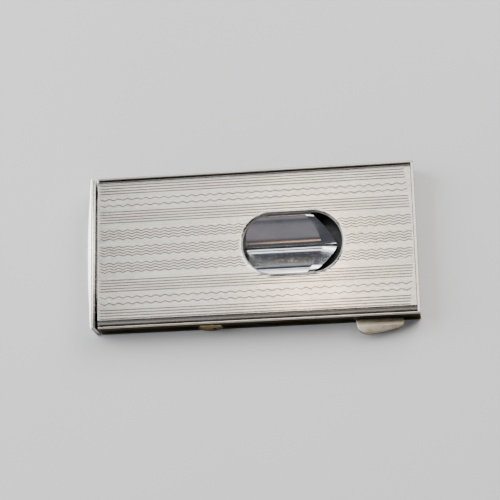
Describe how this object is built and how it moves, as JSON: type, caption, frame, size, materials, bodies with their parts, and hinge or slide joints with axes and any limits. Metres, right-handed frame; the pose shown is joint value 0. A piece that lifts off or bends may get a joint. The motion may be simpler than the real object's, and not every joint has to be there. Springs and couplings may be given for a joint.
{
  "type": "pocket cigar cutter",
  "caption": "Flat pocket wedge cigar cutter: engraved metal case with an oval window, V-shaped sliding blade, thumb cap and side release tab.",
  "frame": {"origin": "middle of the overall length and width, on the back face the cutter lies on", "axes": "+X along the case to its closed end (the thumb cap is at -X), +Y to the plain long side (the release tab is at -Y), +Z out of the front face with the oval window"},
  "size_m": [0.0572, 0.0292, 0.0056],
  "materials": {
    "case_silver": "engine-turned silver, warm grey, softly worn",
    "cap_silver": "polished bright silver",
    "polished_steel": "mirror polished steel, ground bevels",
    "dull_steel": "dull grey steel",
    "worn_brass": "worn brass with rests of plating"
  },
  "bodies": {
    "case": {"back_tray": "case_silver", "front_cover": "case_silver", "window_liner": "polished_steel", "back_liner": "dull_steel", "cigar_collar": "case_silver", "end_block": "worn_brass", "catch_rivet": "worn_brass", "spring_rod_near": "polished_steel", "spring_rod_far": "polished_steel", "push_spring_near": "dull_steel", "push_spring_far": "dull_steel", "end_pin_near": "case_silver", "end_pin_far": "case_silver", "liner_post_near": "dull_steel", "liner_post_far": "dull_steel"},
    "slide": {"thumb_cap": "cap_silver", "cap_backing": "case_silver", "slide_carriage": "dull_steel", "wedge_blade": "polished_steel", "blade_rivet_1": "dull_steel", "blade_rivet_2": "dull_steel", "blade_rivet_3": "dull_steel", "blade_rivet_4": "dull_steel", "rod_bush_near": "worn_brass", "rod_bush_far": "worn_brass", "cap_screw_near": "dull_steel", "cap_screw_far": "dull_steel"},
    "catch": {"catch_leaf": "dull_steel", "thumb_tab": "worn_brass", "catch_hook": "dull_steel", "hook_rivet": "dull_steel"}
  },
  "joints": [
    {"name": "blade_slide", "type": "slide", "parent": "case", "child": "slide", "axis": [-1, 0, 0], "range_m": [0, 0.0174], "deforming": ["push_spring_near", "push_spring_far"]},
    {"name": "catch_press", "type": "hinge", "parent": "case", "child": "catch", "pos_m": [-0.00692, -0.01153, 0.0027], "axis": [0, 0, 1], "range_deg": [0, 2.4], "stiffness_Nm_per_rad": 0.05, "springref_deg": -1.15}
  ]
}
